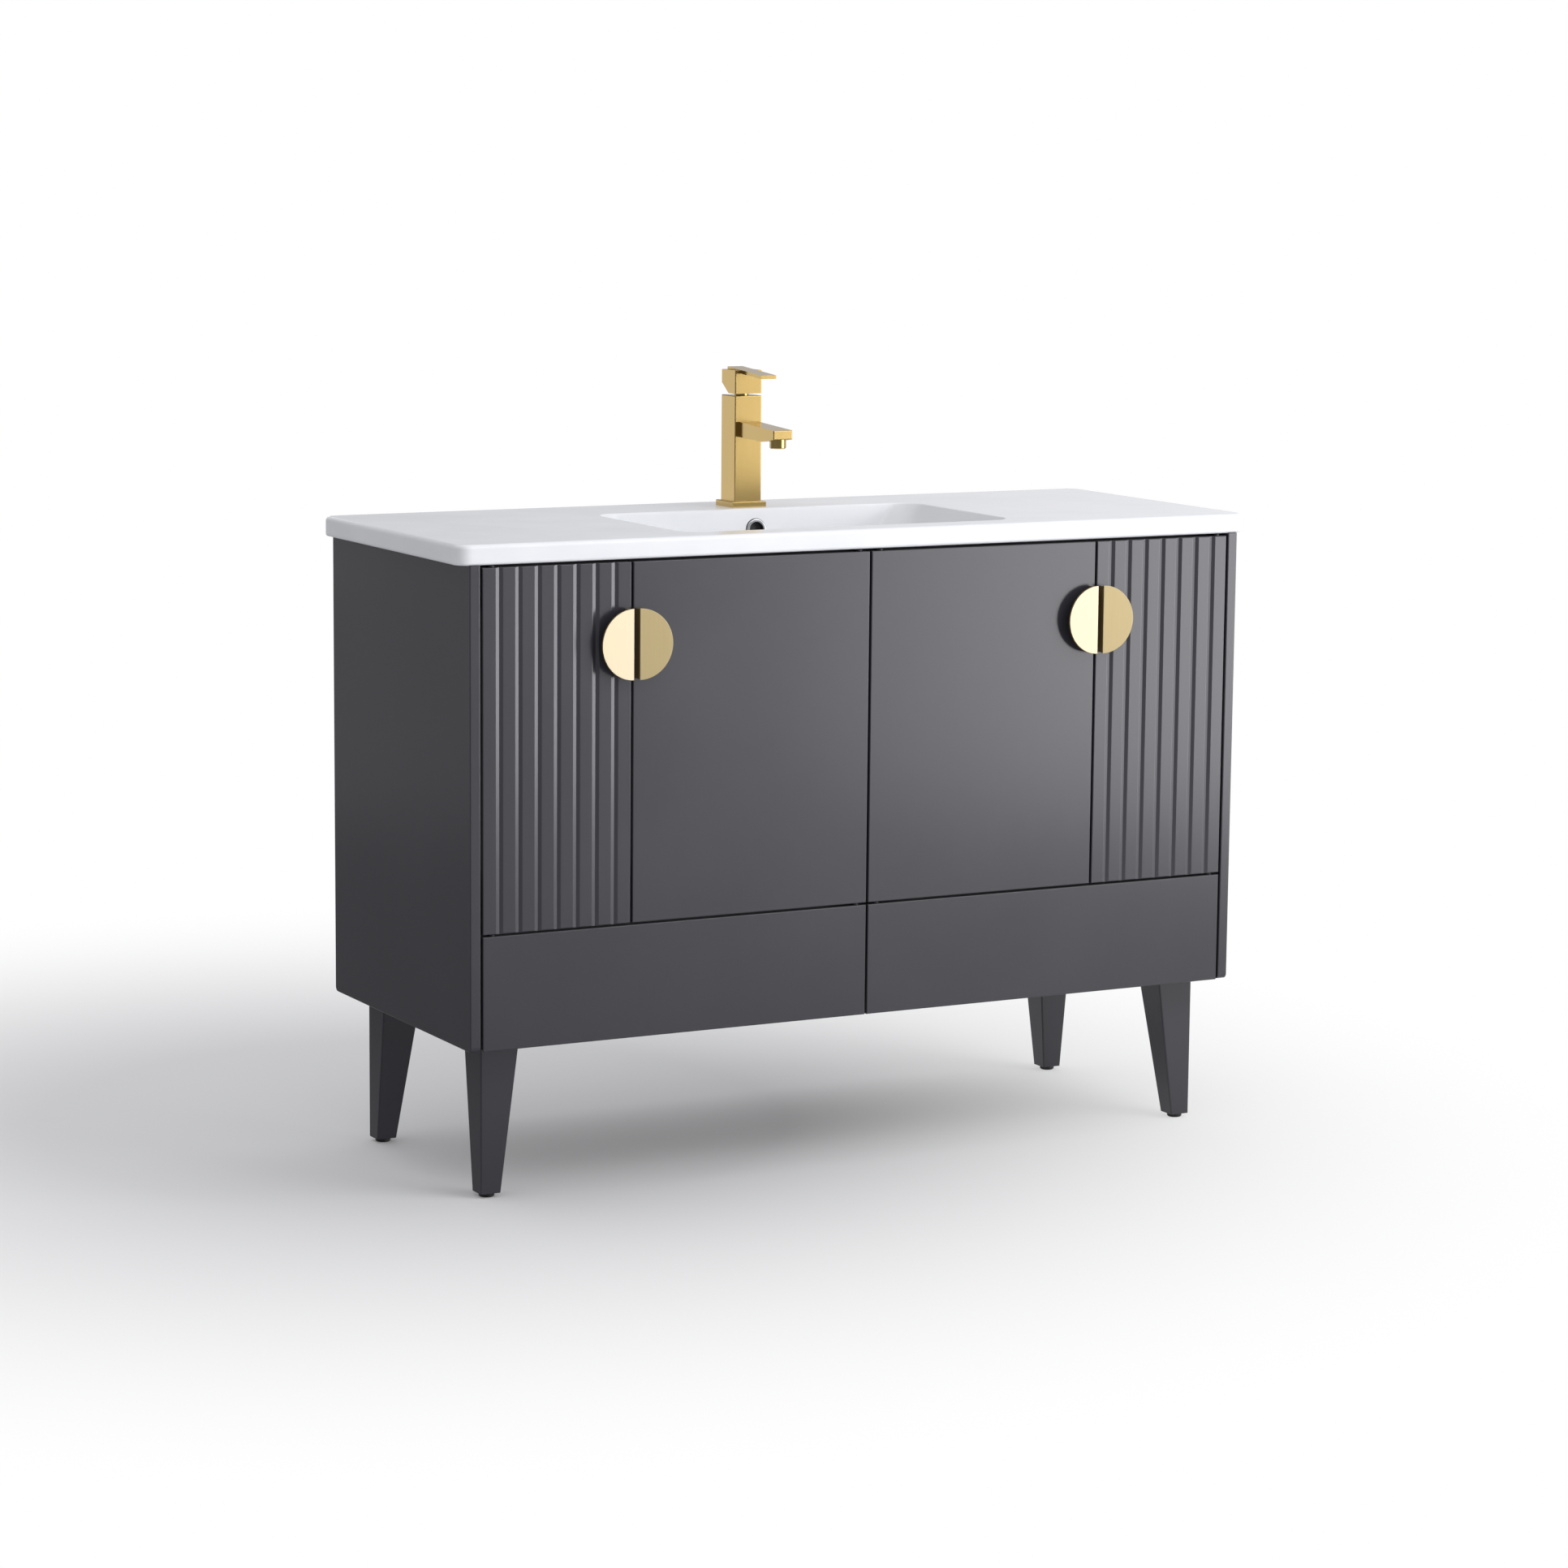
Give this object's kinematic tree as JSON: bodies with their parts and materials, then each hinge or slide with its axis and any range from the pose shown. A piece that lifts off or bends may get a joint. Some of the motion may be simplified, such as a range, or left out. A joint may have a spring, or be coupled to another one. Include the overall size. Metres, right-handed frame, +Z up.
{
  "type": "bathroom vanity cabinet",
  "caption": "Freestanding bathroom vanity with fluted and flat doors, plain drawers, half-moon pulls, tapered legs, a ceramic top with an integral bowl, and a single-lever faucet.",
  "frame": {"origin": "on the floor, under the middle of the whole object's box", "axes": "+X to the right as seen from the front, +Y to the wall, +Z up; the doors face -Y"},
  "size_m": [1.22, 0.482, 1.0755],
  "materials": {
    "grey_paint": "dark grey satin paint on board",
    "drawer_board": "grey laminated drawer board",
    "pull_gold": "satin gold, finely brushed",
    "faucet_gold": "brushed gold",
    "plain_brass": "plain turned brass",
    "ceramic": "white glaze",
    "chrome": "polished",
    "steel": "zinc plated",
    "slide_steel": "bright zinc plated",
    "foot_plastic": "black",
    "gasket_rubber": "black"
  },
  "bodies": {
    "cabinet": {"back_left_leg": "grey_paint", "back_panel": "grey_paint", "back_rail": "grey_paint", "back_right_leg": "grey_paint", "basin_top": "ceramic", "bottom_panel": "grey_paint", "cabinet_slides": "slide_steel", "centre_stile": "grey_paint", "drain_flange": "chrome", "drain_gasket": "gasket_rubber", "drain_nut": "chrome", "drain_tailpiece": "chrome", "drawer_partition": "grey_paint", "faucet_aerator": "faucet_gold", "faucet_base": "faucet_gold", "faucet_body": "faucet_gold", "faucet_nut": "plain_brass", "faucet_shank": "plain_brass", "foot_sockets": "steel", "front_left_leg": "grey_paint", "front_rail": "grey_paint", "front_right_leg": "grey_paint", "left_side_panel": "grey_paint", "leg_plates": "steel", "magnetic_catches": "steel", "middle_shelf": "grey_paint", "overflow_ring": "chrome", "pivot_plates": "steel", "right_side_panel": "grey_paint"},
    "left_outer_door": {"left_fluted_door": "grey_paint", "left_fluted_pull": "pull_gold", "left_fluted_fittings": "steel"},
    "left_inner_door": {"left_flat_door": "grey_paint", "left_flat_pull": "pull_gold", "left_flat_fittings": "steel"},
    "left_drawer": {"left_drawer_front": "grey_paint", "left_drawer_box": "drawer_board", "left_drawer_bottom": "drawer_board", "left_drawer_slides": "slide_steel"},
    "left_slide_middles": {"left_middle_slides": "slide_steel"},
    "right_outer_door": {"right_fluted_door": "grey_paint", "right_fluted_pull": "pull_gold", "right_fluted_fittings": "steel"},
    "right_inner_door": {"right_flat_door": "grey_paint", "right_flat_pull": "pull_gold", "right_flat_fittings": "steel"},
    "right_drawer": {"right_drawer_front": "grey_paint", "right_drawer_box": "drawer_board", "right_drawer_bottom": "drawer_board", "right_drawer_slides": "slide_steel"},
    "right_slide_middles": {"right_middle_slides": "slide_steel"},
    "faucet_swivel": {"faucet_stem": "faucet_gold"},
    "faucet_lever": {"faucet_handle": "faucet_gold"},
    "stopper": {"drain_stopper": "chrome"},
    "front_left_leveller": {"front_left_foot": "foot_plastic"},
    "front_right_leveller": {"front_right_foot": "foot_plastic"},
    "back_left_leveller": {"back_left_foot": "foot_plastic"},
    "back_right_leveller": {"back_right_foot": "foot_plastic"}
  },
  "joints": [
    {"name": "left_outer_door_hinge", "type": "hinge", "parent": "cabinet", "child": "left_outer_door", "pos_m": [-0.5605, -0.218, 0.60625], "axis": [0, 0, -1], "range_deg": [0, 105]},
    {"name": "left_inner_door_hinge", "type": "hinge", "parent": "cabinet", "child": "left_inner_door", "pos_m": [-0.016, -0.218, 0.60625], "axis": [0, 0, 1], "range_deg": [0, 85]},
    {"name": "left_drawer_slide", "type": "slide", "parent": "cabinet", "child": "left_drawer", "axis": [0, -1, 0], "range_m": [0, 0.35]},
    {"name": "left_middle_slide", "type": "slide", "parent": "cabinet", "child": "left_slide_middles", "axis": [0, -1, 0], "range_m": [0, 0.175]},
    {"name": "right_outer_door_hinge", "type": "hinge", "parent": "cabinet", "child": "right_outer_door", "pos_m": [0.5605, -0.218, 0.60625], "axis": [0, 0, 1], "range_deg": [0, 105]},
    {"name": "right_inner_door_hinge", "type": "hinge", "parent": "cabinet", "child": "right_inner_door", "pos_m": [0.016, -0.218, 0.60625], "axis": [0, 0, -1], "range_deg": [0, 85]},
    {"name": "right_drawer_slide", "type": "slide", "parent": "cabinet", "child": "right_drawer", "axis": [0, -1, 0], "range_m": [0, 0.35]},
    {"name": "right_middle_slide", "type": "slide", "parent": "cabinet", "child": "right_slide_middles", "axis": [0, -1, 0], "range_m": [0, 0.175]},
    {"name": "faucet_turn", "type": "hinge", "parent": "cabinet", "child": "faucet_swivel", "pos_m": [0, 0.159, 1.036], "axis": [0, 0, 1], "range_deg": [-45, 45]},
    {"name": "faucet_tilt", "type": "hinge", "parent": "faucet_swivel", "child": "faucet_lever", "pos_m": [0, 0.159, 1.045], "axis": [-1, 0, 0], "range_deg": [0, 22]},
    {"name": "stopper_lift", "type": "slide", "parent": "cabinet", "child": "stopper", "axis": [0, 0, 1], "range_m": [0, 0.008]},
    {"name": "front_left_foot_screw", "type": "slide", "parent": "cabinet", "child": "front_left_leveller", "axis": [0, 0, -1], "range_m": [0, 0.01]},
    {"name": "front_right_foot_screw", "type": "slide", "parent": "cabinet", "child": "front_right_leveller", "axis": [0, 0, -1], "range_m": [0, 0.01]},
    {"name": "back_left_foot_screw", "type": "slide", "parent": "cabinet", "child": "back_left_leveller", "axis": [0, 0, -1], "range_m": [0, 0.01]},
    {"name": "back_right_foot_screw", "type": "slide", "parent": "cabinet", "child": "back_right_leveller", "axis": [0, 0, -1], "range_m": [0, 0.01]}
  ],
  "couplings": [
    {"joint": "left_middle_slide", "follows": "left_drawer_slide", "ratio": 0.5},
    {"joint": "right_middle_slide", "follows": "right_drawer_slide", "ratio": 0.5}
  ]
}
